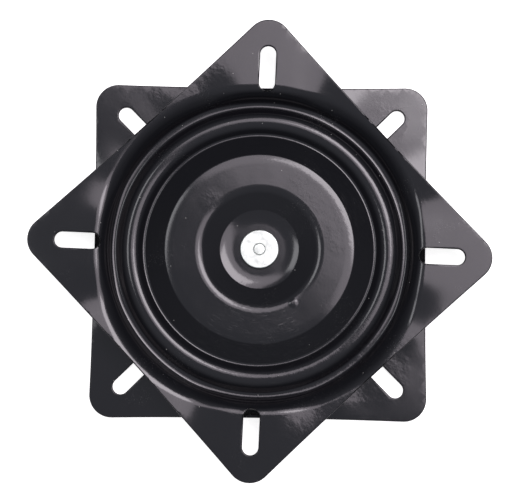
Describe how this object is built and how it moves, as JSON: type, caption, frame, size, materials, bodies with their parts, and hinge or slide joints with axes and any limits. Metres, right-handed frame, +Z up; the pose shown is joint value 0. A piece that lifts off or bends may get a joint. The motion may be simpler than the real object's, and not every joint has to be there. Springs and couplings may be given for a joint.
{
  "type": "lazy susan bearing",
  "caption": "Square swivel bearing: two slotted pressed steel plates on a ring of caged balls, held by a centre rivet.",
  "frame": {"origin": "on the axis of rotation, at the face of the lower plate that is fixed down", "axes": "+Z up along the axis of rotation; +X and +Y through the corner slots of the lower plate"},
  "size_m": [0.2748, 0.2748, 0.025],
  "materials": {
    "painted_plate": "gloss black paint",
    "rivet_steel": "bright zinc plate",
    "washer_steel": "plain, oiled",
    "cage_steel": "plain, greased",
    "ball_steel": "polished"
  },
  "bodies": {
    "base": {"lower_plate": "painted_plate", "centre_rivet": "rivet_steel", "spacer_washer": "washer_steel"},
    "turntable": {"upper_plate": "painted_plate"},
    "ball_ring": {"ball_cage": "cage_steel", "ball_01": "ball_steel", "ball_02": "ball_steel", "ball_03": "ball_steel", "ball_04": "ball_steel", "ball_05": "ball_steel", "ball_06": "ball_steel", "ball_07": "ball_steel", "ball_08": "ball_steel", "ball_09": "ball_steel", "ball_10": "ball_steel", "ball_11": "ball_steel", "ball_12": "ball_steel", "ball_13": "ball_steel", "ball_14": "ball_steel", "ball_15": "ball_steel", "ball_16": "ball_steel", "ball_17": "ball_steel", "ball_18": "ball_steel", "ball_19": "ball_steel", "ball_20": "ball_steel", "ball_21": "ball_steel", "ball_22": "ball_steel", "ball_23": "ball_steel", "ball_24": "ball_steel"}
  },
  "joints": [
    {"name": "turntable_spin", "type": "hinge", "parent": "base", "child": "turntable", "pos_m": [0, 0, 0.0125], "axis": [0, 0, 1], "continuous": true},
    {"name": "ball_ring_spin", "type": "hinge", "parent": "base", "child": "ball_ring", "pos_m": [0, 0, 0.0125], "axis": [0, 0, 1], "continuous": true}
  ],
  "couplings": [
    {"joint": "ball_ring_spin", "follows": "turntable_spin", "ratio": 0.5}
  ]
}
